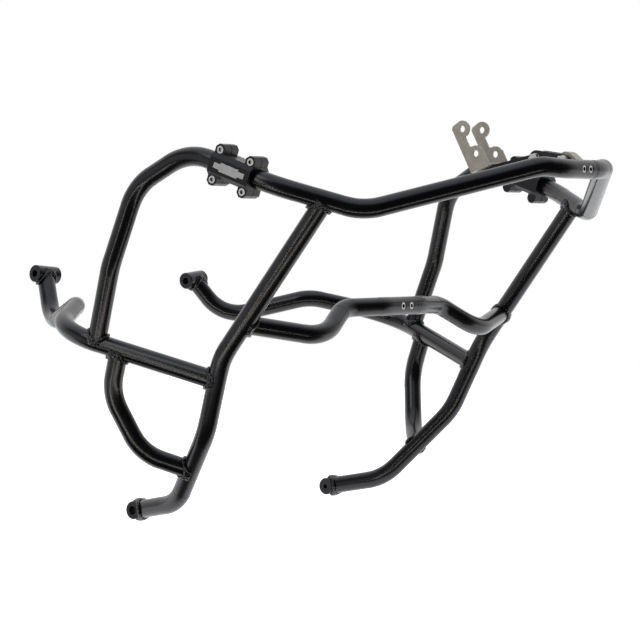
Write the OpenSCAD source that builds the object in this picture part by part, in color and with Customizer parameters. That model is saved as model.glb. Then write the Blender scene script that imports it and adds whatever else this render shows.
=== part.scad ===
// Crash bars of a motorcycle: a right and a left half of bent steel tube, joined by half-lap couplers.
// X points forward, Y to the rider's left and Z up, in millimetres.
// The origin lies on the centre plane, between the two lower holes of the front bracket.
// A bend point is the corner where two straight legs of a tube's centre line would meet.
// It is given for the left half as [forward, outward, up], and the right half is its mirror image.

/* [Tubes] */
// Outside diameter of every tube
tube_od = 25.4; // [23:0.2:27]
// Wall of every tube
tube_wall = 2.5; // [1.5:0.1:3.2]
// Gap between the end of a branch tube and the tube that it is welded to
root_gap = 0.3; // [0.1:0.1:0.6]
// Width of a weld bead on either side of its seam
bead_w = 3; // [2:0.1:4]

/* [Mid rail] */
// Middle of the rear bush of the left half
rear_bush_left = [-670, 163, -180]; // each number may move by 8 mm
// Middle of the rear bush of the right half, whose stub is longer
rear_bush_right = [-678, 158, -168]; // each number may move by 8 mm
// Bend under the rear bush
mid_1 = [-632, 190, -239]; // each number may move by 8 mm
// Bend at the rear corner
mid_2 = [-515, 260, -207]; // each number may move by 8 mm
// Bend at the widest corner
mid_3 = [-442, 379, -237]; // each number may move by 8 mm
// Centre-line radius under the rear bush
mid_r1 = 60; // [40:1:66]
// Centre-line radius at the rear corner
mid_r2 = 55; // [40:1:70]
// Centre-line radius at the widest corner
mid_r3 = 80; // [50:1:90]

/* [Upper rail] */
// Bend over the mid rail
upper_1 = [-351, 367, -152]; // each number may move by 8 mm
// Bend under the top corner
upper_2 = [-316, 354, -45]; // each number may move by 8 mm
// Bend at the top corner
upper_3 = [-232, 343, 0]; // each number may move by 8 mm
// Bend in front of the clamp
upper_4 = [-108, 332, -44]; // each number may move by 8 mm
// Bend at the front corner
upper_5 = [-6, 265, -79]; // each number may move by 8 mm
// Bend at the nose
upper_6 = [140, 76, -20]; // each number may move by 8 mm
// Straight between the upper coupler's collar and the corner of the rail's last bend
upper_end_run = 13; // [12:1:17]
// Middle of the upper coupler, forward of the origin
nose_x = 151; // [146:1:156]
// Middle of the upper coupler, over the origin
nose_z = -23; // [-28:1:-18]
// Centre-line radius over the mid rail
upper_r1 = 90; // [60:1:110]
// Centre-line radius under the top corner
upper_r2 = 70; // [50:1:85]
// Centre-line radius at the top corner
upper_r3 = 80; // [60:1:90]
// Centre-line radius in front of the clamp
upper_r4 = 150; // [120:1:170]
// Centre-line radius at the front corner
upper_r5 = 75; // [50:1:90]
// Centre-line radius at the nose
upper_r6 = 45; // [35:1:50]

/* [Down tube] */
// Where the down tube starts, as a share of the upper rail's leg from the clamp to the front corner
down_share = 0.6; // [0.5:0.01:0.65]
// Bend in the middle
down_1 = [-215, 299, -272]; // each number may move by 8 mm
// Bend above the lower loop's end
down_2 = [-258, 281, -374]; // each number may move by 8 mm
// Bend at the bottom
down_3 = [-351, 235, -478]; // each number may move by 8 mm
// Middle of the foot bush
foot_bush = [-438, 217, -494]; // each number may move by 8 mm
// Centre-line radius of the upper two bends
down_r = 105; // [80:1:120]
// Centre-line radius at the bottom
down_r3 = 78; // [60:1:85]

/* [Lower loop] */
// Where the upper rail starts, as a share of the mid rail's last leg
upper_share = 0.26; // [0.22:0.01:0.3]
// Where the lower loop starts, as a share of the mid rail's last leg
loop_share = 0.4; // [0.38:0.01:0.44]
// Where the mid rail ends, as a share of the down tube's middle leg
mid_share = 0.3; // [0.26:0.01:0.34]
// Upper bend of the loop
loop_1 = [-375, 341, -323]; // each number may move by 8 mm
// Lower bend of the loop
loop_2 = [-349, 309, -404]; // each number may move by 8 mm
// Where the loop ends, as a share of the down tube's lower leg
loop_end_share = 0.52; // [0.48:0.01:0.56]
// Centre-line radius of both bends
loop_r = 71; // [55:1:76]

/* [Cross bar] */
// Where the cross bar starts, as a share of the down tube's first leg
cross_share = 0.78; // [0.74:0.01:0.8]
// Outer bend
cross_1 = [-137, 178, -246]; // each number may move by 8 mm
// Inner bend
cross_2 = [-159, 110, -209]; // each number may move by 8 mm
// Straight between the lower coupler's collar and the corner of the bar's last bend
cross_end_run = 13; // [12:1:17]
// Middle of the lower coupler, forward of the origin
cross_x = -143; // [-148:1:-138]
// Middle of the lower coupler, over the origin
cross_z = -208; // [-214:1:-202]
// Centre-line radius of the outer bend
cross_r1 = 70; // [50:1:76]
// Centre-line radius of the inner bend
cross_r2 = 46; // [36:1:56]
// Centre-line radius of the last bend before either coupler
end_r = 80; // [60:1:100]

/* [Bushes] */
// Length of a rear bush
rear_bush_len = 42; // [36:1:48]
// Bore of a rear bush, for an M10 bolt
rear_bore_d = 10.5; // [8:0.1:13]
// Angle by which a rear bush's outer end is raised
rear_bush_tilt = 5; // [0:0.5:8]
// Angle by which a rear bush's outer end is turned back
rear_bush_toe = 4; // [0:0.5:8]
// Length of a foot bush
foot_bush_len = 28; // [26:1:34]
// Bore of the right foot bush, for an M12 bolt
foot_bore_right_d = 12.2; // [8:0.1:14]
// Bore of the left foot bush, for an M6 bolt
foot_bore_left_d = 6.6; // [6:0.1:14]
// Chamfer at each end of a bush
bush_chamfer = 1; // [0.5:0.1:2]

/* [Couplers] */
// Length of the half lap, over which the two halves overlap
lap_len = 48; // [44:1:52]
// Length of the full round collar between the lap and the tube
collar_len = 3; // [2:0.5:4]
// Length of the spigot inside the tube
spigot_len = 10; // [8:1:11]
// Gap between the halves of a coupler
lap_gap = 0.4; // [0.2:0.1:0.8]
// Distance between the two screws of the upper coupler
upper_screw_pitch = 16; // [14:0.5:22]
// Distance between the two screws of the lower coupler
lower_screw_pitch = 19; // [14:0.5:22]

/* [Clamps] */
// Place of the clamp, as a share of the leg behind the bend in front of it
clamp_share = 0.62; // [0.6:0.01:0.65]
// Length of the clamp along the tube
clamp_len = 66; // [64:1:70]
// Height of the clamp's body across the tube
clamp_h = 32; // [30:1:34]
// Distance from the tube's axis to the outer face of each half
clamp_depth = 21; // [19:0.5:24]
// Distance from the tube's axis to the face of a screw lug
lug_depth = 15.5; // [14:0.5:17]
// Distance between the screws along the tube
clamp_pitch_len = 50; // [48:0.5:51]
// Distance between the screws across the tube
clamp_pitch_h = 40.5; // [39:0.5:42]
// Width of a screw lug
lug_w = 15; // [13:0.5:15.5]
// Gap between the halves of a clamp
clamp_gap = 1; // [0.6:0.1:1.6]
// Length of the nameplate
plate_len = 50; // [40:1:52]
// Height of the nameplate's middle
plate_h = 12; // [9:0.5:14]
// Height of the nameplate's ends
plate_end_h = 7.5; // [5:0.5:8]
// Thickness of the nameplate
plate_t = 1; // [0.6:0.1:1.5]

/* [Front bracket] */
// Distance between the middles of the bracket's two cheeks
cheek_pitch = 46; // [42:1:50]
// Thickness of the bracket's sheet
sheet_t = 3; // [2:0.5:4]
// Diameter of the four holes, for M8 bolts
bracket_hole_d = 9; // [7:0.5:10]
// Angle by which the cheeks lean back
lean = 28; // [22:1:32]
// Height of the upper holes over the lower ones, along a cheek
hole_rise = 40; // [36:0.5:44]
// Distance of the upper holes behind the lower ones, across a cheek
hole_back = 4; // [2:0.5:6]
// Radius of the upper lobe of a cheek
upper_lobe_r = 11.5; // [9:0.5:12.5]
// Radius of the lower lobe of a cheek
lower_lobe_r = 11; // [8:0.5:11.5]
// Distance from the lower holes to the rear edge of a cheek
cheek_back = 19; // [17:0.5:21]
// Distance from the lower holes to the front edge of a cheek
cheek_front = 12.5; // [11.5:0.5:14]
// Distance from the lower holes back to the waist between the lobes
waist_back = 5; // [2:0.5:8]
// Angle of the web against the horizontal
web_angle = 22; // [15:1:26]
// Distance from the lower holes to the underside of the web
web_drop = 21.5; // [20:0.5:25]

/* [Bracket link] */
// Joint bolt behind the nose, forward of the origin
link_rear_x = 89.5; // [84:0.5:94]
// Joint bolt behind the nose, over the origin
link_rear_z = -8.5; // [-12:0.5:-6]
// Distance of the joint bolt at the nose behind the upper coupler's axis
link_front_back = 18; // [17.5:0.5:20]
// Height of the joint bolt at the nose over the upper coupler's axis
link_front_rise = 11; // [10.5:0.5:13]
// Radius of the link plates' rear end
link_r = 11.5; // [10:0.5:12]
// Radius of the link plates' front end
link_front_r = 8.5; // [8:0.5:9.5]
// Radius of the nose lug
lug_r = 12.5; // [11:0.5:13]
// Thickness of a link plate
link_t = 5; // [3:0.5:6]
// Width of the lug and the block between the link plates
block_w = 16; // [14:1:22]

/* [Hidden] */
$fn = 48;

tube_r = tube_od / 2;
bore_r = tube_r - tube_wall;
// A bent stretch is this much thicker than a straight leg, and the leg reaches this far into it
bend_swell = 0.15;
bend_overlap = 0.4;
// Gap between a weld bead and the tubes under it
bead_clear = 0.2;
// How much further a bead stands off the parent tube than off the branch
bead_lip = 0.5;
// Length of the rods that bound a bead, from the middle of its seam
bead_reach = 60;
// Running gap between metal pieces that are pushed or screwed together
slip = 0.1;
// Gap around a coupler's spigot, which lets it pass the start of the bend in the tube
spigot_gap = 1;
// How far a cutting body runs past the faces that it opens, and past the ends of a bush
cut_margin = 1;
cope_reach = 8;
// Share of a direction's length over which its rise counts as upright
upright = 0.99;

// Functions on points and directions
function unit(v) = v / norm(v);
function between(a, b, share) = a + (b - a) * share;
// A direction square to v, as level as it can be
function level_normal(v) = unit(abs(v[2]) < upright * norm(v) ? cross(v, [0, 0, 1]) : cross(v, [1, 0, 0]));
// Length of straight leg that a bend of radius r at b takes up
function tangent_len(a, b, c, r) =
    let (u = unit(b - a), w = unit(c - b))
    r * tan(acos(u * w) / 2);

// Ends of branches on the legs of their parents
down_start = between(upper_4, upper_5, down_share);
mid_end = between(down_1, down_2, mid_share);
upper_start = between(mid_3, mid_end, upper_share);
loop_start = between(mid_3, mid_end, loop_share);
loop_end = between(down_2, down_3, loop_end_share);
cross_start = between(down_start, down_1, cross_share);
clamp_mid = between(upper_3, upper_4, clamp_share);

// Coupler axes run along Y, and a tube ends where its coupler's collar starts
tube_end_out = lap_len / 2 + collar_len;
nose = [nose_x, 0, nose_z];
cross_mid = [cross_x, 0, cross_z];

// Centre lines, as bend points and the radius at each bend
upper_line = [
    upper_start, upper_1, upper_2, upper_3, upper_4, upper_5, upper_6,
    nose + [0, tube_end_out + upper_end_run, 0], nose + [0, tube_end_out, 0]
];
upper_radii = [upper_r1, upper_r2, upper_r3, upper_r4, upper_r5, upper_r6, end_r];
down_line = [down_start, down_1, down_2, down_3, foot_bush];
down_radii = [down_r, down_r, down_r3];
loop_line = [loop_start, loop_1, loop_2, loop_end];
loop_radii = [loop_r, loop_r];
cross_line = [
    cross_start, cross_1, cross_2,
    cross_mid + [0, tube_end_out + cross_end_run, 0], cross_mid + [0, tube_end_out, 0]
];
cross_radii = [cross_r1, cross_r2, end_r];
mid_radii = [mid_r1, mid_r2, mid_r3];
function rear_bush_mid(side) = side == "right" ? rear_bush_right : rear_bush_left;
function mid_line(side) = [rear_bush_mid(side), mid_1, mid_2, mid_3, mid_end];

// Outward direction of a rear bush's bore, and of a foot bush's
rear_axis = [
    -sin(rear_bush_toe),
    cos(rear_bush_toe) * cos(rear_bush_tilt),
    cos(rear_bush_toe) * sin(rear_bush_tilt)
];
foot_axis = [0, 1, 0];

// Screws
m6_d = 6;
m6_head_d = 10;
m6_head_h = 5.5;
m6_socket_af = 5;
m6_socket_depth = 3;
m8_d = 8;
m8_af = 13;
m8_head_h = 5.3;
m8_nut_h = 6.5;
m8_washer_d = 15;
m8_washer_t = 1.6;
counterbore_d = 10.8;
// How far a screw's thread reaches past the joint that it closes
thread_reach = 9;
// How far a joint bolt stands past its nut
bolt_end = 2;
// Across the corners of a hexagon, as a share of its width across the flats
hex_corner = 1 / cos(30);
// Distance from a coupler's axis to the face of its screw heads
coupler_head = tube_r - 1;

// Clamp frame: along the tube, outward and square to both
clamp_along = unit(upper_4 - upper_3);
clamp_out = unit([-clamp_along[1], clamp_along[0], 0]) * (clamp_along[0] < 0 ? -1 : 1);
clamp_up = cross(clamp_out, clamp_along);
// Bevel along the edges of a clamp's body
clamp_bevel = 6;
// Depth of the seats of the screw heads under the lug faces
head_seat = lug_depth - m6_head_h;
// Cut across the outer corners of a screw lug
lug_cut = 4.5;
// Length of the nameplate's full height
plate_mid_len = plate_len * 0.6;

// Point of a cheek's plane, from the lower hole: across the cheek and along it
function cheek_point(across, along) =
    across * [cos(lean), sin(lean)] + along * [-sin(lean), cos(lean)];
// Directions along the web and square to it, and the corners of its underside
web_along = [cos(web_angle), sin(web_angle)];
web_square = [-sin(web_angle), cos(web_angle)];
// Point of a cheek's edge, at a distance across from the lower hole, where the web's underside cuts it
function web_point(across) =
    let (start = cheek_point(across, 0), down = cheek_point(0, -1))
    start + down * ((start * web_square + web_drop) / -(down * web_square));
web_rear = web_point(-cheek_back);
web_front = web_point(cheek_front);
web_mid = (web_rear + web_front) / 2;
upper_hole = cheek_point(-hole_back, hole_rise);
link_rear = [link_rear_x, link_rear_z];
nose_mid = [nose_x, nose_z];
link_front = nose_mid + [-link_front_back, link_front_rise];
// Outer face of a link plate, on which a washer lies
link_face = block_w / 2 + slip + link_t;
// Cut across the upper rear corner of a cheek, and its distance under the top of the lobe
corner_cut = 3;
corner_drop = 1;
// Length of the slope between a cheek's lower lobe and its waist
waist_slope = 2;
// Thickness of the block under the web, and radius of its end around the rear joint bolt
block_t = 8;
block_r = link_r - 2;
// Height of the block's arm over the rear joint bolt
block_arm = block_r - 2;
// Width of the nose lug at the coupler's axis, as a share of its width at the joint bolt
lug_taper = 0.8;

black = [0.13, 0.13, 0.15];
zinc = [0.62, 0.6, 0.54];
stainless = [0.8, 0.8, 0.78];

// Placing

// Puts its children at p, with their Z axis along direction
module aim(p, direction) {
    z = unit(direction);
    x = level_normal(z);
    y = cross(z, x);
    multmatrix([
        [x[0], y[0], z[0], p[0]],
        [x[1], y[1], z[1], p[1]],
        [x[2], y[2], z[2], p[2]],
        [0, 0, 0, 1]
    ])
    children();
}

// Puts its children at p, with their axes along x, y and z
module in_frame(p, x, y, z) {
    multmatrix([
        [x[0], y[0], z[0], p[0]],
        [x[1], y[1], z[1], p[1]],
        [x[2], y[2], z[2], p[2]],
        [0, 0, 0, 1]
    ])
    children();
}

// Puts its children, drawn for the left half, on the given side
module on_side(side) {
    if (side == "right")
        mirror([0, 1, 0])
        children();
    else
        children();
}

// Round rod from p to q
module rod(p, q, r) {
    aim(p, q - p)
    cylinder(h = norm(q - p), r = r);
}

// Turns a profile drawn in the XZ plane into a plate from y0 to y1
module plate(y0, y1) {
    translate([0, y1, 0])
    rotate([90, 0, 0])
    linear_extrude(y1 - y0)
    children();
}

// Tubes

// Straight leg of tube from p to q
module leg(p, q) {
    aim(p, q - p)
    difference() {
        cylinder(h = norm(q - p), r = tube_r);
        translate([0, 0, -cut_margin])
        cylinder(h = norm(q - p) + 2 * cut_margin, r = bore_r);
    }
}

// Sweeps its children, drawn around the centre line, through the bend at b between the legs from a and to c
module bend(a, b, c, r) {
    u = unit(b - a);
    w = unit(c - b);
    turn = acos(u * w);
    inward = unit(w - u * (u * w));
    middle = b - u * r * tan(turn / 2) + inward * r;
    in_frame(middle, -inward, u, cross(u, inward))
    rotate_extrude(angle = turn)
    translate([r, 0])
    children();
}

// Bent stretch of tube
module elbow(a, b, c, r) {
    bend(a, b, c, r)
    difference() {
        circle(r = tube_r + bend_swell);
        circle(r = bore_r - bend_swell);
    }
}

// Whole tube along a centre line, given by its points and the radius of each bend
module tube(line, radii) {
    last = len(line) - 1;
    for (i = [0 : last - 1]) {
        along = unit(line[i + 1] - line[i]);
        cut_a = i == 0 ? 0 :
            tangent_len(line[i - 1], line[i], line[i + 1], radii[i - 1]) - bend_overlap;
        cut_b = i + 1 == last ? 0 :
            tangent_len(line[i], line[i + 1], line[i + 2], radii[i]) - bend_overlap;
        leg(line[i] + along * cut_a, line[i + 1] - along * cut_b);
    }
    for (i = [1 : last - 1])
        elbow(line[i - 1], line[i], line[i + 1], radii[i - 1]);
}

// What a branch loses where it meets the tube from p to q
module cope(p, q) {
    rod(p, q, tube_r + root_gap);
}

// What a branch loses where it meets the leg from b to c, close behind the bend of that tube at b
module bent_cope(a, b, c, r) {
    cope(b + unit(c - b) * (tangent_len(a, b, c, r) - bend_overlap), c);
    bend(a, b, c, r)
    circle(r = tube_r + bend_swell + root_gap);
}

module upper_rail(side) {
    color(black)
    on_side(side)
    difference() {
        tube(upper_line, upper_radii);
        bent_cope(mid_2, mid_3, mid_end, mid_r3);
    }
}

module mid_rail(side) {
    axis = rear_axis * (rear_bush_len / 2 + cope_reach);
    color(black)
    on_side(side)
    difference() {
        tube(mid_line(side), mid_radii);
        cope(down_1, down_2);
        cope(rear_bush_mid(side) - axis, rear_bush_mid(side) + axis);
    }
}

module down_tube(side) {
    axis = foot_axis * (foot_bush_len / 2 + cope_reach);
    color(black)
    on_side(side)
    difference() {
        tube(down_line, down_radii);
        cope(upper_4, upper_5);
        cope(foot_bush - axis, foot_bush + axis);
    }
}

module lower_loop(side) {
    color(black)
    on_side(side)
    difference() {
        tube(loop_line, loop_radii);
        cope(mid_3, mid_end);
        cope(down_2, down_3);
    }
}

module cross_bar(side) {
    color(black)
    on_side(side)
    difference() {
        tube(cross_line, cross_radii);
        cope(down_start, down_1);
    }
}

// Bushes

// Round bush about p with its bore along axis
module bush(p, axis, length, bore_d) {
    aim(p, axis)
    translate([0, 0, -length / 2])
    difference() {
        union() {
            cylinder(h = bush_chamfer, r1 = tube_r - bush_chamfer, r2 = tube_r);
            translate([0, 0, bush_chamfer])
            cylinder(h = length - 2 * bush_chamfer, r = tube_r);
            translate([0, 0, length - bush_chamfer])
            cylinder(h = bush_chamfer, r1 = tube_r, r2 = tube_r - bush_chamfer);
        }
        translate([0, 0, -cut_margin])
        cylinder(h = length + 2 * cut_margin, d = bore_d);
    }
}

module rear_bush(side) {
    color(black)
    on_side(side)
    bush(rear_bush_mid(side), rear_axis, rear_bush_len, rear_bore_d);
}

module foot_bush(side) {
    color(black)
    on_side(side)
    bush(foot_bush, foot_axis, foot_bush_len, side == "right" ? foot_bore_right_d : foot_bore_left_d);
}

// Weld beads

// Bead around a branch that leaves p in the direction branch, where p lies on the axis of a tube or bush
// that runs along parent. The bead stays clear of its children too, the bends of that tube
module bead(p, parent, branch) {
    along = unit(parent) * bead_reach;
    tip = unit(branch) * bead_reach;
    inner = tube_r + bead_clear;
    outer = inner + bead_w;
    difference() {
        intersection() {
            rod(p, p + tip, outer);
            rod(p - along, p + along, outer + bead_lip);
        }
        rod(p - tip, p + tip, inner + bend_swell);
        rod(p - along, p + along, inner);
        children();
    }
}

// What a bead loses to the bend of a tube
module bead_bend(a, b, c, r) {
    bend(a, b, c, r)
    circle(r = tube_r + bend_swell + bead_clear);
}

module weld_beads(side) {
    bush_mid = rear_bush_mid(side);
    color(black)
    on_side(side) {
        bead(upper_start, mid_end - mid_3, upper_1 - upper_start)
        bead_bend(mid_2, mid_3, mid_end, mid_r3);
        bead(loop_start, mid_end - mid_3, loop_1 - loop_start)
        bead_bend(mid_2, mid_3, mid_end, mid_r3);
        bead(mid_end, down_2 - down_1, mid_3 - mid_end)
        bead_bend(down_start, down_1, down_2, down_r);
        bead(down_start, upper_5 - upper_4, down_1 - down_start);
        bead(loop_end, down_3 - down_2, loop_2 - loop_end)
        bead_bend(down_1, down_2, down_3, down_r);
        bead(cross_start, down_1 - down_start, cross_1 - cross_start);
        bead(bush_mid, rear_axis, mid_1 - bush_mid);
        bead(foot_bush, foot_axis, down_3 - foot_bush);
    }
}

// Clamps

module in_clamp(side) {
    on_side(side)
    in_frame(clamp_mid, clamp_along, clamp_up, clamp_out)
    children();
}

// Places its children at the four screws of a clamp
module at_clamp_screws() {
    for (i = [-1, 1], j = [-1, 1])
        translate([i * clamp_pitch_len / 2, j * clamp_pitch_h / 2, 0])
        children();
}

// Half clamp that faces outward, over the joint face, with its depth along Z
module clamp_half() {
    difference() {
        union() {
            translate([-clamp_len / 2, 0, 0])
            rotate([90, 0, 90])
            linear_extrude(clamp_len)
            polygon([
                [-clamp_h / 2, clamp_gap / 2], [clamp_h / 2, clamp_gap / 2],
                [clamp_h / 2, clamp_depth - clamp_bevel], [clamp_h / 2 - clamp_bevel, clamp_depth],
                [-clamp_h / 2 + clamp_bevel, clamp_depth], [-clamp_h / 2, clamp_depth - clamp_bevel]
            ]);
            for (i = [-1, 1], j = [-1, 1])
                translate([i * clamp_pitch_len / 2, 0, clamp_gap / 2])
                linear_extrude(lug_depth - clamp_gap / 2)
                lug_outline(j);
        }
        translate([-clamp_len, 0, 0])
        rotate([0, 90, 0])
        cylinder(h = 2 * clamp_len, r = tube_r + slip);
    }
}

// Outline of one screw lug, with its outer corners cut off
module lug_outline(j) {
    reach = clamp_pitch_h / 2 + lug_w / 2;
    polygon([
        [-lug_w / 2, 0], [lug_w / 2, 0],
        [lug_w / 2, j * (reach - lug_cut)], [lug_w / 2 - lug_cut, j * reach],
        [-lug_w / 2 + lug_cut, j * reach], [-lug_w / 2, j * (reach - lug_cut)]
    ]);
}

// Outline of the nameplate, with stepped ends, grown by a margin
module plate_outline(margin) {
    square([plate_mid_len + 2 * margin, plate_h + 2 * margin], center = true);
    square([plate_len + 2 * margin, plate_end_h + 2 * margin], center = true);
}

// Room in a clamp's bore for the start of the bend in front of it
module clamp_bend(side) {
    on_side(side)
    bend(upper_3, upper_4, upper_5, upper_r4)
    circle(r = tube_r + bend_swell + slip);
}

module clamp_outer(side) {
    color(black)
    difference() {
        in_clamp(side)
        difference() {
            clamp_half();
            at_clamp_screws() {
                cylinder(h = lug_depth + cut_margin, d = m6_d + 2 * slip);
                translate([0, 0, head_seat])
                cylinder(h = clamp_depth, d = counterbore_d);
            }
            translate([0, 0, clamp_depth - plate_t])
            linear_extrude(plate_t + cut_margin)
            plate_outline(slip);
        }
        clamp_bend(side);
    }
}

module clamp_inner(side) {
    color(black)
    difference() {
        in_clamp(side)
        difference() {
            mirror([0, 0, 1])
            clamp_half();
            at_clamp_screws()
            translate([0, 0, -thread_reach - cut_margin])
            cylinder(h = thread_reach + 2 * cut_margin, d = m6_d + 2 * slip);
        }
        clamp_bend(side);
    }
}

// Socket head screw with the top of its head at the origin and its shank down to depth
module socket_screw(depth) {
    difference() {
        union() {
            translate([0, 0, -m6_head_h])
            cylinder(h = m6_head_h, d = m6_head_d);
            translate([0, 0, -depth])
            cylinder(h = depth - m6_head_h / 2, d = m6_d);
        }
        translate([0, 0, -m6_socket_depth])
        cylinder(h = m6_head_h, d = m6_socket_af * hex_corner, $fn = 6);
    }
}

module clamp_screws(side) {
    color(stainless)
    in_clamp(side)
    at_clamp_screws()
    translate([0, 0, lug_depth])
    socket_screw(lug_depth + thread_reach);
}

module clamp_plate(side) {
    color(stainless)
    in_clamp(side)
    translate([0, 0, clamp_depth - plate_t])
    linear_extrude(plate_t)
    plate_outline(0);
}

// Couplers

// Places its children at the two screws of a coupler, with Z forward
module at_coupler_screws(middle, pitch) {
    for (j = [-1, 1])
        translate(middle + [0, j * pitch / 2, 0])
        rotate([0, 90, 0])
        children();
}

// One half of a coupler, drawn for the left half: spigot, collar and half lap.
// front is 1 where the half lap lies in front of the axis, and -1 where it lies behind
module coupler(middle, front) {
    lap_out = lap_len / 2;
    in_frame(middle, [front, 0, 0], [0, 0, -front], [0, 1, 0]) {
        translate([0, 0, tube_end_out])
        cylinder(h = spigot_len, r = bore_r - spigot_gap);
        translate([0, 0, lap_out + lap_gap / 2])
        cylinder(h = collar_len - lap_gap / 2, r = tube_r);
        intersection() {
            translate([0, 0, -lap_out + lap_gap / 2])
            cylinder(h = lap_len, r = tube_r);
            translate([lap_gap / 2, -tube_od, -lap_len])
            cube([tube_od, 2 * tube_od, 2 * lap_len]);
        }
    }
}

module coupler_holes(middle, pitch) {
    at_coupler_screws(middle, pitch) {
        translate([0, 0, -thread_reach - cut_margin])
        cylinder(h = tube_od, d = m6_d + 2 * slip);
        translate([0, 0, coupler_head - m6_head_h])
        cylinder(h = tube_od, d = counterbore_d);
    }
}

module upper_coupler(side) {
    color(black)
    difference() {
        on_side(side)
        coupler(nose, side == "right" ? 1 : -1);
        coupler_holes(nose, upper_screw_pitch);
    }
}

module lower_coupler(side) {
    color(black)
    difference() {
        on_side(side)
        coupler(cross_mid, side == "right" ? 1 : -1);
        coupler_holes(cross_mid, lower_screw_pitch);
    }
}

module coupler_screws(middle, pitch) {
    color(stainless)
    at_coupler_screws(middle, pitch)
    translate([0, 0, coupler_head])
    socket_screw(coupler_head + thread_reach);
}

// Front bracket

// Profile of a cheek, with X forward and Y up, around the lower hole at the origin
module cheek_outline() {
    corner_along = hole_rise + upper_lobe_r - corner_drop;
    difference() {
        union() {
            translate(upper_hole)
            circle(r = upper_lobe_r);
            circle(r = lower_lobe_r);
            polygon([
                web_rear, web_front,
                cheek_point(cheek_front, 0), cheek_point(0, lower_lobe_r),
                cheek_point(-waist_back, lower_lobe_r + waist_slope),
                cheek_point(-waist_back, hole_rise - upper_lobe_r),
                cheek_point(-hole_back, hole_rise), cheek_point(-hole_back, hole_rise + upper_lobe_r),
                cheek_point(-cheek_back + corner_cut, corner_along),
                cheek_point(-cheek_back, corner_along - corner_cut)
            ]);
        }
        circle(d = bracket_hole_d);
        translate(upper_hole)
        circle(d = bracket_hole_d);
    }
}

module front_bracket() {
    color(zinc)
    difference() {
        union() {
            for (way = [-1, 1])
                plate(way * cheek_pitch / 2 - sheet_t / 2, way * cheek_pitch / 2 + sheet_t / 2)
                cheek_outline();
            plate(-cheek_pitch / 2, cheek_pitch / 2)
            polygon([web_rear, web_front, web_front + web_square * sheet_t, web_rear + web_square * sheet_t]);
        }
        in_web()
        translate([0, 0, -cut_margin])
        cylinder(h = sheet_t + 2 * cut_margin, d = m8_d + 2 * slip);
    }
}

// Puts its children on the underside of the web, with Z square to it
module in_web() {
    in_frame(
        [web_mid[0], 0, web_mid[1]],
        [web_along[0], 0, web_along[1]], [0, 1, 0], [web_square[0], 0, web_square[1]]
    )
    children();
}

// Block under the web that carries the bracket on the rear joint bolt
module bracket_block() {
    lift = -web_square * slip;
    color(black)
    difference() {
        plate(-block_w / 2, block_w / 2)
        difference() {
            union() {
                polygon([
                    web_rear + lift - web_square * block_t, web_front + lift - web_square * block_t,
                    link_rear + [-block_t / 2, -block_arm], link_rear + [-block_t / 2, block_arm],
                    web_front + lift, web_rear + lift
                ]);
                translate(link_rear)
                circle(r = block_r);
            }
            translate(link_rear)
            circle(d = m8_d + 2 * slip);
        }
        in_web()
        translate([0, 0, -block_t - cut_margin])
        cylinder(h = block_t + 2 * cut_margin, d = m8_d + 2 * slip);
    }
}

// Hexagon head of an M8 screw, on the plane under it
module hex_head(height) {
    cylinder(h = height, d = m8_af * hex_corner, $fn = 6);
}

module bracket_screw() {
    color(stainless)
    in_web()
    translate([0, 0, sheet_t]) {
        hex_head(m8_head_h);
        translate([0, 0, -sheet_t - block_t])
        cylinder(h = sheet_t + block_t, d = m8_d);
    }
}

// Link between the rear joint bolt and the nose

module at_link_bolts() {
    for (p = [link_rear, link_front])
        translate([p[0], 0, p[1]])
        children();
}

module link_plate(side) {
    inner = block_w / 2 + slip;
    color(black)
    on_side(side)
    plate(inner, inner + link_t)
    difference() {
        hull() {
            translate(link_rear)
            circle(r = link_r, $fn = 32);
            translate(link_front)
            circle(r = link_front_r, $fn = 32);
        }
        for (p = [link_rear, link_front])
            translate(p)
            circle(d = m8_d + 2 * slip);
        translate(nose_mid)
        circle(r = tube_r + root_gap);
    }
}

module nose_lug() {
    to_nose = unit(nose_mid - link_front);
    lug_side = [-to_nose[1], to_nose[0]] * lug_r;
    end_side = lug_side * lug_taper;
    color(zinc)
    plate(-block_w / 2, block_w / 2)
    difference() {
        union() {
            translate(link_front)
            circle(r = lug_r);
            polygon([
                link_front + lug_side, link_front - lug_side,
                nose_mid - end_side, nose_mid + end_side
            ]);
        }
        translate(link_front)
        circle(d = m8_d + 2 * slip);
        translate(nose_mid)
        circle(r = tube_r);
    }
}

module link_bolts() {
    grip = link_face + m8_washer_t;
    color(stainless)
    at_link_bolts()
    rotate([90, 0, 0]) {
        translate([0, 0, grip])
        hex_head(m8_head_h);
        translate([0, 0, -grip - m8_nut_h - bolt_end])
        cylinder(h = 2 * grip + m8_nut_h + bolt_end, d = m8_d);
    }
}

module link_nuts() {
    color(stainless)
    at_link_bolts()
    rotate([-90, 0, 0])
    translate([0, 0, link_face + m8_washer_t])
    difference() {
        hex_head(m8_nut_h);
        translate([0, 0, -cut_margin])
        cylinder(h = m8_nut_h + 2 * cut_margin, d = m8_d + 2 * slip);
    }
}

module link_washers() {
    color(stainless)
    at_link_bolts()
    for (way = [-1, 1])
        rotate([90 * way, 0, 0])
        translate([0, 0, link_face])
        difference() {
            cylinder(h = m8_washer_t, d = m8_washer_d);
            translate([0, 0, -cut_margin])
            cylinder(h = m8_washer_t + 2 * cut_margin, d = m8_d + 2 * slip);
        }
}

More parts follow.
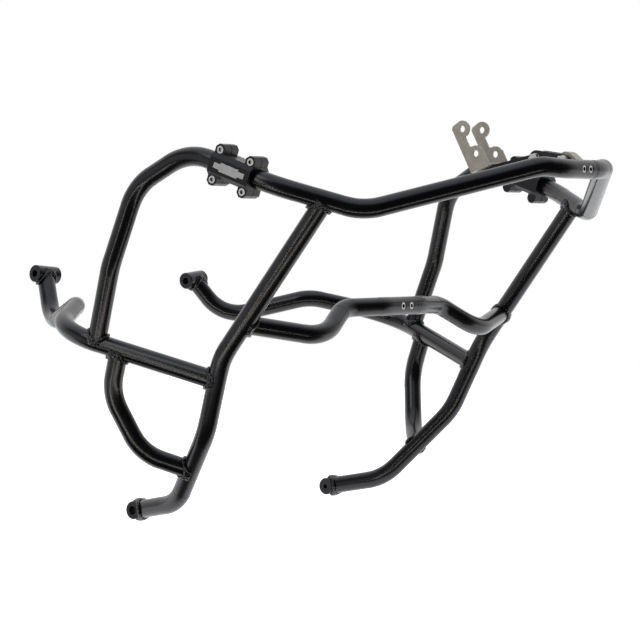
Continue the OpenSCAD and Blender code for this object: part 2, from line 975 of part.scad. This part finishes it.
upper_rail("right");  // right_upper_rail
upper_rail("left");  // left_upper_rail
mid_rail("right");  // right_mid_rail
mid_rail("left");  // left_mid_rail
down_tube("right");  // right_down_tube
down_tube("left");  // left_down_tube
lower_loop("right");  // right_lower_loop
lower_loop("left");  // left_lower_loop
cross_bar("right");  // right_cross_bar
cross_bar("left");  // left_cross_bar
rear_bush("right");  // right_rear_bush
rear_bush("left");  // left_rear_bush
foot_bush("right");  // right_foot_bush
foot_bush("left");  // left_foot_bush
weld_beads("right");  // right_weld_beads
weld_beads("left");  // left_weld_beads
clamp_outer("right");  // right_clamp_outer
clamp_outer("left");  // left_clamp_outer
clamp_inner("right");  // right_clamp_inner
clamp_inner("left");  // left_clamp_inner
clamp_screws("right");  // right_clamp_screws
clamp_screws("left");  // left_clamp_screws
clamp_plate("right");  // right_clamp_plate
clamp_plate("left");  // left_clamp_plate
upper_coupler("right");  // right_upper_coupler
upper_coupler("left");  // left_upper_coupler
lower_coupler("right");  // right_lower_coupler
lower_coupler("left");  // left_lower_coupler
coupler_screws(nose, upper_screw_pitch);  // upper_coupler_screws
coupler_screws(cross_mid, lower_screw_pitch);  // lower_coupler_screws
front_bracket();
bracket_block();
bracket_screw();
link_plate("right");  // right_link_plate
link_plate("left");  // left_link_plate
nose_lug();
link_bolts();
link_nuts();
link_washers();
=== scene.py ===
# Looks of the crash bars: finishes, welds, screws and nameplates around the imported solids, with the
# studio and the camera. All lengths are in metres, in the row frame.
import math

import bpy
from mathutils import Matrix, Vector


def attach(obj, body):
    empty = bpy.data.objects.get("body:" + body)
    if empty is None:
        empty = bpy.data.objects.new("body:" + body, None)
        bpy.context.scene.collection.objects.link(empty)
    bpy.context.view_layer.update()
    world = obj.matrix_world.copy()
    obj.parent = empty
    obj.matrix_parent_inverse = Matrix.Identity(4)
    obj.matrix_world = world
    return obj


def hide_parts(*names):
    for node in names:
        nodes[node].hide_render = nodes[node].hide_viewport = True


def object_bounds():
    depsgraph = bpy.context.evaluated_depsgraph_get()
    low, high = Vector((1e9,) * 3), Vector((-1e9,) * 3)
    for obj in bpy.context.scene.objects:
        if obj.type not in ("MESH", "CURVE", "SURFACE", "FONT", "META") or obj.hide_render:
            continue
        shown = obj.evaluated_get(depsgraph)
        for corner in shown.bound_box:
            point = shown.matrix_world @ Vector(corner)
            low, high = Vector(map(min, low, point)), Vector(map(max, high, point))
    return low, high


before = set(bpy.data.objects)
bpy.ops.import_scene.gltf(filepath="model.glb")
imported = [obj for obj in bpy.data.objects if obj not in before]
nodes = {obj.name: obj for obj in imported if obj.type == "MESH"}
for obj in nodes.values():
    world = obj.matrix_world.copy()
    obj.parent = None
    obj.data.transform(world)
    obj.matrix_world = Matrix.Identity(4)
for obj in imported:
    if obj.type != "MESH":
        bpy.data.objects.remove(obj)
cad_low, cad_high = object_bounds()

MM = 0.001
UP = Vector((0, 0, 1))
SIDES = ("right", "left")

# Camera: the point it looks at, its direction from there, its distance and its lens
LOOK_AT = Vector((-0.287, 0, -0.231))
CAMERA_AZIMUTH = math.radians(51.5)
CAMERA_HEIGHT = math.radians(1.94)
CAMERA_DISTANCE = 3.645
CAMERA_LENS = 143.7
CAMERA_SENSOR = 36
CAMERA_CLIP = (0.1, 40)
toward_camera = Vector((
    math.cos(CAMERA_HEIGHT) * math.cos(CAMERA_AZIMUTH),
    -math.cos(CAMERA_HEIGHT) * math.sin(CAMERA_AZIMUTH),
    math.sin(CAMERA_HEIGHT),
))
front = Vector((toward_camera.x, toward_camera.y, 0)).normalized()
camera_right = front.cross(UP) * -1

# Middle range of a noise, where nearly all of its values lie
NOISE_LOW = 0.3
NOISE_HIGH = 0.7


# Finishes

def new_material(name):
    """A material with its nodes, its principled shader and its object coordinates."""
    material = bpy.data.materials.new(name)
    material.use_nodes = True
    tree = material.node_tree
    shader = tree.nodes["Principled BSDF"]
    place = tree.nodes.new("ShaderNodeTexCoord")
    return material, tree, shader, place.outputs["Object"]


def stretched(tree, place, scale):
    """Object coordinates scaled by a different number along each axis."""
    mapping = tree.nodes.new("ShaderNodeMapping")
    mapping.inputs["Scale"].default_value = scale
    tree.links.new(place, mapping.inputs["Vector"])
    return mapping.outputs["Vector"]


def grain(tree, place, scale, detail=2.0, rough=0.5):
    """Fine noise, from 0 to 1."""
    noise = tree.nodes.new("ShaderNodeTexNoise")
    noise.inputs["Scale"].default_value = scale
    noise.inputs["Detail"].default_value = detail
    noise.inputs["Roughness"].default_value = rough
    tree.links.new(place, noise.inputs["Vector"])
    return noise.outputs["Fac"]


def roughened(tree, shader, value, low, high):
    """Spreads a noise's middle range over a range of roughness."""
    spread = tree.nodes.new("ShaderNodeMapRange")
    spread.inputs["From Min"].default_value = NOISE_LOW
    spread.inputs["From Max"].default_value = NOISE_HIGH
    spread.inputs["To Min"].default_value = low
    spread.inputs["To Max"].default_value = high
    tree.links.new(value, spread.inputs["Value"])
    tree.links.new(spread.outputs["Result"], shader.inputs["Roughness"])


def coloured(tree, shader, value, dark, light):
    """Varies the colour between two shades by a noise."""
    ramp = tree.nodes.new("ShaderNodeValToRGB")
    ramp.color_ramp.elements[0].position = NOISE_LOW
    ramp.color_ramp.elements[0].color = (*dark, 1)
    ramp.color_ramp.elements[1].position = NOISE_HIGH
    ramp.color_ramp.elements[1].color = (*light, 1)
    tree.links.new(value, ramp.inputs["Fac"])
    tree.links.new(ramp.outputs["Color"], shader.inputs["Base Color"])


def relief(tree, shader, height, strength, depth, under=None):
    """Raises the surface by a height pattern, over an earlier relief if there is one."""
    bump = tree.nodes.new("ShaderNodeBump")
    bump.inputs["Strength"].default_value = strength
    bump.inputs["Distance"].default_value = depth
    tree.links.new(height, bump.inputs["Height"])
    if under is not None:
        tree.links.new(under, bump.inputs["Normal"])
    tree.links.new(bump.outputs["Normal"], shader.inputs["Normal"])
    return bump.outputs["Normal"]


def powder_coat():
    """Semi-gloss black powder coat with a fine orange peel."""
    material, tree, shader, place = new_material("black_powder_coat")
    clouds = grain(tree, place, 35, detail=3)
    coloured(tree, shader, clouds, dark=(0.0035, 0.0035, 0.0042), light=(0.0055, 0.0055, 0.0068))
    roughened(tree, shader, grain(tree, place, 45), low=0.222, high=0.238)
    relief(tree, shader, grain(tree, place, 480, detail=1), strength=0.02, depth=0.03 * MM)
    return material


def weld_coat():
    """The same coat over a weld, where it is a little rougher."""
    material, tree, shader, place = new_material("coated_weld")
    clouds = grain(tree, place, 240, detail=3)
    coloured(tree, shader, clouds, dark=(0.0035, 0.0035, 0.0042), light=(0.0065, 0.0065, 0.0075))
    roughened(tree, shader, clouds, low=0.2, high=0.34)
    relief(tree, shader, grain(tree, place, 700), strength=0.2, depth=0.1 * MM)
    return material


def clamp_coat():
    """Black coat of the clamps, finer and flatter than the powder coat."""
    material, tree, shader, place = new_material("black_cast_metal")
    clouds = grain(tree, place, 60, detail=3)
    coloured(tree, shader, clouds, dark=(0.004, 0.004, 0.005), light=(0.007, 0.007, 0.0085))
    roughened(tree, shader, grain(tree, place, 420), low=0.3, high=0.36)
    shader.inputs["Specular IOR Level"].default_value = 0.32
    relief(tree, shader, grain(tree, place, 1600), strength=0.08, depth=0.03 * MM)
    return material


def stainless():
    """Turned stainless steel of the screws."""
    material, tree, shader, place = new_material("stainless_steel")
    shader.inputs["Metallic"].default_value = 1
    clouds = grain(tree, place, 500)
    coloured(tree, shader, clouds, dark=(0.60, 0.59, 0.56), light=(0.76, 0.75, 0.72))
    roughened(tree, shader, grain(tree, place, 1800), low=0.24, high=0.42)
    relief(tree, shader, grain(tree, place, 2600, detail=1), strength=0.06, depth=0.02 * MM)
    return material


def recess():
    """Painted shade for the inside of a socket: steel coloured near black for the shade deep in the recess,
    where hardly any light gets.
    """
    material, tree, shader, place = new_material("painted_socket_shade")
    shader.inputs["Metallic"].default_value = 0.6
    clouds = grain(tree, place, 900)
    # Near-black colour: painted shade of the recess, not a colour of the steel
    coloured(tree, shader, clouds, dark=(0.015, 0.015, 0.015), light=(0.04, 0.038, 0.035))
    roughened(tree, shader, clouds, low=0.4, high=0.6)
    return material


def zinc_plating():
    """Dull, warm zinc plating with faint clouds and fine rolling lines."""
    material, tree, shader, place = new_material("zinc_plated_steel")
    shader.inputs["Metallic"].default_value = 0.85
    clouds = grain(tree, place, 90, detail=4, rough=0.6)
    coloured(tree, shader, clouds, dark=(0.40, 0.365, 0.305), light=(0.49, 0.455, 0.395))
    lines = grain(tree, stretched(tree, place, (220, 220, 2600)), 1)
    roughened(tree, shader, lines, low=0.38, high=0.54)
    rolled = relief(tree, shader, lines, strength=0.12, depth=0.05 * MM)
    relief(tree, shader, grain(tree, place, 1500), strength=0.15, depth=0.04 * MM, under=rolled)
    return material


def brushed_plate():
    """Brushed steel of the bare nameplates."""
    material, tree, shader, place = new_material("nameplate_metal")
    shader.inputs["Metallic"].default_value = 0.9
    clouds = grain(tree, place, 220, detail=3)
    coloured(tree, shader, clouds, dark=(0.42, 0.425, 0.39), light=(0.52, 0.525, 0.49))
    lines = grain(tree, stretched(tree, place, (320, 320, 5200)), 1)
    roughened(tree, shader, lines, low=0.36, high=0.52)
    relief(tree, shader, lines, strength=0.25, depth=0.05 * MM)
    return material


black_coat = powder_coat()
black_weld = weld_coat()
black_clamp = clamp_coat()
bright_steel = stainless()
# Near-black painted shade for the insides of the screw sockets
socket_shade_paint = recess()
zinc = zinc_plating()
plate_steel = brushed_plate()


# Modelling steps

# Corners nearer than this are one corner
MERGE_WITHIN = 0.01 * MM
# Faces that turn by less than this are one flat face
FLAT_ANGLE = math.radians(0.5)
# Edges that turn by more than this are broken
SHARP_ANGLE = math.radians(35)
# Edges that turn by more than this stay sharp in the shading of an eased piece
SHADE_ANGLE = math.radians(32)


def select_only(piece):
    """Selects one piece and makes it active."""
    bpy.ops.object.select_all(action="DESELECT")
    piece.select_set(True)
    bpy.context.view_layer.objects.active = piece


def apply_place(piece):
    """Leaves the piece's object at the origin, with its place in its mesh."""
    select_only(piece)
    bpy.ops.object.transform_apply(location=True, rotation=True, scale=True)


def finish_with(piece, kind, **settings):
    """Adds a modifier and applies it."""
    select_only(piece)
    modifier = piece.modifiers.new(kind.lower(), kind)
    for key, value in settings.items():
        setattr(modifier, key, value)
    bpy.ops.object.modifier_apply(modifier=modifier.name)


def paint(piece, material):
    """Gives a whole piece one finish."""
    piece.data.materials.clear()
    piece.data.materials.append(material)
    for face in piece.data.polygons:
        face.material_index = 0


def clean_mesh(piece):
    """Merges doubles and turns all faces outwards."""
    select_only(piece)
    bpy.ops.object.mode_set(mode="EDIT")
    bpy.ops.mesh.select_all(action="SELECT")
    bpy.ops.mesh.remove_doubles(threshold=MERGE_WITHIN)
    bpy.ops.mesh.normals_make_consistent(inside=False)
    bpy.ops.object.mode_set(mode="OBJECT")


def smooth(piece, angle):
    """Shades a piece smooth, apart from its edges that turn by more than an angle."""
    select_only(piece)
    bpy.ops.object.shade_smooth_by_angle(angle=angle)


def seat(piece, name, material, slot, *replaced):
    """Names a finished piece, gives it its finish and lets it ride on the part."""
    piece.name = name
    piece.data.name = name
    paint(piece, material)
    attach(piece, "root")
    if replaced:
        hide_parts(*replaced)
    return piece


def copy_of(node):
    """A copy of a solid with its doubles merged, to shape further."""
    select_only(nodes[node])
    bpy.ops.object.duplicate()
    piece = bpy.context.object
    for key in list(piece.keys()):
        del piece[key]
    piece.parent = None
    piece.matrix_world = Matrix.Identity(4)
    if piece.data.has_custom_normals:
        bpy.ops.mesh.customdata_custom_splitnormals_clear()
    clean_mesh(piece)
    return piece


def eased(node, name, material, slot, width, segments=2):
    """A solid with its sharp edges broken, as deburring leaves them."""
    piece = copy_of(node)
    finish_with(piece, "DECIMATE", decimate_type="DISSOLVE", angle_limit=FLAT_ANGLE)
    finish_with(
        piece, "BEVEL", width=width, segments=segments, limit_method="ANGLE",
        angle_limit=SHARP_ANGLE, use_clamp_overlap=True, harden_normals=False,
    )
    smooth(piece, SHADE_ANGLE)
    finish_with(piece, "WEIGHTED_NORMAL", keep_sharp=True)
    return seat(piece, name, material, slot, node)


# Tubes, bushes and couplers

BUSH_EDGE = 0.35 * MM
COUPLER_EDGE = 0.4 * MM

for side in SIDES:
    for part in ("upper_rail", "mid_rail", "down_tube", "lower_loop", "cross_bar"):
        paint(nodes[side + "_" + part], black_coat)
    for part in ("rear_bush", "foot_bush"):
        eased(side + "_" + part, part + "_" + side, black_coat, "black_powder_coat", BUSH_EDGE)
    for part in ("upper_coupler", "lower_coupler"):
        eased(side + "_" + part, part + "_" + side, black_coat, "black_powder_coat", COUPLER_EDGE)


# Screw sockets

SCREW_EDGE = 0.15 * MM
SOCKET_R = 3.05 * MM
# A socket's inside lies between these depths under the top of its screw's head
SOCKET_TOP = 0.1 * MM
SOCKET_BOTTOM = 3.4 * MM
# A face larger than this is taken as a flat end of its screw
END_FACE_AREA = 12 * MM * MM


def screw_axis(mesh, faces):
    """A screw's axis, towards its head, and a point on it."""
    corners = {index for face in faces for index in face.vertices}
    points = [mesh.vertices[index].co for index in corners]
    middle = sum(points, Vector()) / len(points)
    far = max(points, key=lambda point: (point - middle).length)
    flat = [face for face in faces if face.area > END_FACE_AREA]
    if flat:
        axis = max(flat, key=lambda face: face.area).normal.copy()
    else:
        axis = (far - middle).normalized()
    spread = {1: [], -1: []}
    for point in points:
        offset = point - middle
        along = offset.dot(axis)
        spread[1 if along > 0 else -1].append((offset - axis * along).length)
    if max(spread[-1], default=0) > max(spread[1], default=0):
        axis = -axis
    return axis, middle


def screws_of(mesh):
    """The faces of each screw, by joining the corners that an edge links."""
    owner = list(range(len(mesh.vertices)))

    def top(vertex):
        while owner[vertex] != vertex:
            vertex = owner[vertex] = owner[owner[vertex]]
        return vertex

    for edge in mesh.edges:
        owner[top(edge.vertices[0])] = top(edge.vertices[1])
    screws = {}
    for face in mesh.polygons:
        screws.setdefault(top(face.vertices[0]), []).append(face)
    return screws.values()


def paint_socket_shade(piece):
    """Paints shade on the inside of each screw's socket: the near black of a deep recess."""
    piece.data.materials.append(socket_shade_paint)
    for faces in screws_of(piece.data):
        axis, middle = screw_axis(piece.data, faces)
        heights = [(face.center - middle).dot(axis) for face in faces]
        crown = max(heights)
        for face, height in zip(faces, heights):
            offset = face.center - middle
            away = (offset - axis * offset.dot(axis)).length
            if away < SOCKET_R and crown - SOCKET_BOTTOM < height < crown - SOCKET_TOP:
                # A face inside the socket gets the painted shade
                face.material_index = 1


# Welds

WELD_VOXEL = 0.7 * MM
WELD_SMOOTHINGS = 6
LUMP_SIZE = 3.2 * MM
LUMP_HEIGHT = 1.5 * MM
# Share of the lumps' height that lies under the smooth bead
LUMP_MIDDLE = 0.35
WELD_SHADE_ANGLE = math.radians(60)


def weld(side):
    """Beads rounded off and made lumpy, as a run of hand welding under its coat."""
    piece = copy_of(side + "_weld_beads")
    finish_with(piece, "REMESH", mode="VOXEL", voxel_size=WELD_VOXEL, use_smooth_shade=True)
    finish_with(piece, "SMOOTH", factor=0.5, iterations=WELD_SMOOTHINGS)
    lumps = bpy.data.textures.new("weld_lumps", "CLOUDS")
    lumps.noise_scale = LUMP_SIZE
    lumps.noise_depth = 1
    finish_with(
        piece, "DISPLACE", texture=lumps, texture_coords="LOCAL",
        strength=LUMP_HEIGHT, mid_level=LUMP_MIDDLE,
    )
    bpy.data.textures.remove(lumps)
    clean_mesh(piece)
    smooth(piece, WELD_SHADE_ANGLE)
    seat(piece, "welds_" + side, black_weld, "black_powder_coat", side + "_weld_beads")


for side in SIDES:
    weld(side)


# Clamps

CLAMP_EDGE = 0.7 * MM
NAMEPLATE_EDGE = 0.2 * MM

for side in SIDES:
    for part in ("clamp_outer", "clamp_inner"):
        eased(side + "_" + part, part + "_" + side, black_clamp, "black_cast_metal", CLAMP_EDGE)
    eased(
        side + "_clamp_plate", "nameplate_" + side,
        plate_steel, "nameplate_metal", NAMEPLATE_EDGE, segments=1,
    )
    # The insides of the clamp screws' sockets get painted shade
    paint_socket_shade(eased(
        side + "_clamp_screws", "clamp_screws_" + side,
        bright_steel, "stainless_steel", SCREW_EDGE,
    ))


# Bracket and link

BRACKET_EDGE = 0.35 * MM
LINK_EDGE = 0.5 * MM

eased("front_bracket", "bracket", zinc, "zinc_plated_steel", BRACKET_EDGE)
eased("nose_lug", "lug", zinc, "zinc_plated_steel", LINK_EDGE)
eased("bracket_block", "block", black_coat, "black_powder_coat", LINK_EDGE)
for side in SIDES:
    eased(side + "_link_plate", "link_plate_" + side, black_coat, "black_powder_coat", LINK_EDGE)
for part in ("upper_coupler_screws", "lower_coupler_screws", "bracket_screw"):
    # The insides of these screws' sockets get painted shade
    paint_socket_shade(eased(part, part + "_eased", bright_steel, "stainless_steel", SCREW_EDGE))
for part in ("link_bolts", "link_nuts", "link_washers"):
    eased(part, part + "_eased", bright_steel, "stainless_steel", SCREW_EDGE)


# Studio

# Pale card on the left, by its angle from the direction of the camera
CARD_ANGLE = math.radians(78)
# How far the floor lies under the part, how far it reaches, and how strongly it glows
FLOOR_DROP = 0.30
FLOOR_AHEAD = 0.15
FLOOR_BEHIND = 9
FLOOR_WIDTH = 12
FLOOR_GLOW = 0.85

WHITE = (1, 1, 1)
DARK_ROOM = (0.02, 0.02, 0.022)
CARD_COLOUR = (0.6, 0.61, 0.65)
CEILING_COLOUR = (0.98, 1.02, 1.15)


def soft_lamp(name, ahead, left, above, width, height, power, colour=WHITE):
    """A rectangular lamp, placed from the point that the camera looks at, which it faces."""
    place = LOOK_AT + front * ahead - camera_right * left + UP * above
    bpy.ops.object.light_add(type="AREA", location=place)
    lamp = bpy.context.object
    lamp.name = name
    lamp.data.shape = "RECTANGLE"
    lamp.data.size = width
    lamp.data.size_y = height
    lamp.data.energy = power
    lamp.data.color = colour
    lamp.rotation_euler = (place - LOOK_AT).to_track_quat("Z", "Y").to_euler()
    lamp.visible_camera = False


def seen_directly(tree):
    """1 for camera, glossy and transmission rays, and 0 for the rest."""
    path = tree.nodes.new("ShaderNodeLightPath")
    total = path.outputs["Is Camera Ray"]
    for ray in ("Is Glossy Ray", "Is Transmission Ray"):
        add = tree.nodes.new("ShaderNodeMath")
        add.operation = "ADD"
        add.use_clamp = True
        tree.links.new(total, add.inputs[0])
        tree.links.new(path.outputs[ray], add.inputs[1])
        total = add.outputs[0]
    return total


def floor_paper():
    """Pale matt paper that glows in direct view and in reflections, to match the backdrop."""
    paper, tree, shader, place = new_material("pale_floor")
    shader.inputs["Base Color"].default_value = (0.8, 0.8, 0.8, 1)
    shader.inputs["Roughness"].default_value = 0.9
    shader.inputs["Specular IOR Level"].default_value = 0.1
    glow = tree.nodes.new("ShaderNodeEmission")
    strength = tree.nodes.new("ShaderNodeMath")
    strength.operation = "MULTIPLY"
    strength.inputs[1].default_value = FLOOR_GLOW
    tree.links.new(seen_directly(tree), strength.inputs[0])
    tree.links.new(strength.outputs[0], glow.inputs["Strength"])
    both = tree.nodes.new("ShaderNodeAddShader")
    tree.links.new(shader.outputs[0], both.inputs[0])
    tree.links.new(glow.outputs[0], both.inputs[1])
    tree.links.new(both.outputs[0], tree.nodes["Material Output"].inputs["Surface"])
    return paper


def pale_floor():
    """Floor under and behind the object, square to the camera."""
    centre = LOOK_AT + front * (FLOOR_AHEAD - FLOOR_BEHIND) / 2
    bpy.ops.object.select_all(action="DESELECT")
    bpy.ops.mesh.primitive_plane_add(
        size=1,
        location=(centre.x, centre.y, cad_low.z - FLOOR_DROP),
        rotation=(0, 0, math.atan2(front.y, front.x)),
    )
    floor = bpy.context.object
    floor.name = "floor"
    floor.scale = (FLOOR_AHEAD + FLOOR_BEHIND, FLOOR_WIDTH, 1)
    apply_place(floor)
    floor.data.materials.append(floor_paper())


def build_world():
    """White backdrop behind the object, a pale card, a soft ceiling and a dark room on the camera's side."""
    world = bpy.data.worlds.new("studio")
    bpy.context.scene.world = world
    world.use_nodes = True
    tree = world.node_tree
    light = tree.nodes["Background"]
    place = tree.nodes.new("ShaderNodeTexCoord")

    def facing(direction, low, high):
        """0 to 1 as the view turns towards a direction."""
        dot = tree.nodes.new("ShaderNodeVectorMath")
        dot.operation = "DOT_PRODUCT"
        tree.links.new(place.outputs["Generated"], dot.inputs[0])
        dot.inputs[1].default_value = direction
        ramp = tree.nodes.new("ShaderNodeMapRange")
        ramp.interpolation_type = "SMOOTHSTEP"
        ramp.inputs["From Min"].default_value = low
        ramp.inputs["From Max"].default_value = high
        tree.links.new(dot.outputs["Value"], ramp.inputs["Value"])
        return ramp.outputs["Result"]

    def mixed(amount, first, second):
        """A mix of two colours, each given as numbers or as an output."""
        mix = tree.nodes.new("ShaderNodeMix")
        mix.data_type = "RGBA"
        tree.links.new(amount, mix.inputs["Factor"])
        for value, socket in ((first, mix.inputs["A"]), (second, mix.inputs["B"])):
            if isinstance(value, tuple):
                socket.default_value = (*value, 1)
            else:
                tree.links.new(value, socket)
        return mix.outputs["Result"]

    backdrop = mixed(facing(-front, low=-0.1, high=0.5), DARK_ROOM, WHITE)
    card = front * math.cos(CARD_ANGLE) - camera_right * math.sin(CARD_ANGLE)
    room = mixed(facing(card, low=0.84, high=0.95), backdrop, CARD_COLOUR)
    ceiling = mixed(facing(UP, low=0.52, high=0.98), room, CEILING_COLOUR)
    path = tree.nodes.new("ShaderNodeLightPath")
    shown = mixed(path.outputs["Is Camera Ray"], ceiling, WHITE)
    tree.links.new(shown, light.inputs["Color"])


def add_camera():
    """The camera at the photograph's viewing angle."""
    bpy.ops.object.camera_add(location=LOOK_AT + toward_camera * CAMERA_DISTANCE)
    camera = bpy.context.object
    camera.rotation_euler = (-toward_camera).to_track_quat("-Z", "Y").to_euler()
    camera.data.lens = CAMERA_LENS
    camera.data.sensor_width = CAMERA_SENSOR
    camera.data.clip_start, camera.data.clip_end = CAMERA_CLIP
    bpy.context.scene.camera = camera


pale_floor()
build_world()
soft_lamp("key", ahead=1.6, left=1.5, above=1.9, width=1.2, height=1.2, power=10)
soft_lamp(
    "low_strip", ahead=0.95, left=0, above=-0.56, width=2.6, height=0.08, power=3.5,
    colour=(1, 0.96, 0.88),
)
soft_lamp(
    "side_strip", ahead=1.2, left=0.95, above=0, width=0.06, height=1.6, power=2.6,
    colour=(1, 0.98, 0.95),
)
add_camera()
bpy.context.scene.view_settings.view_transform = "Standard"
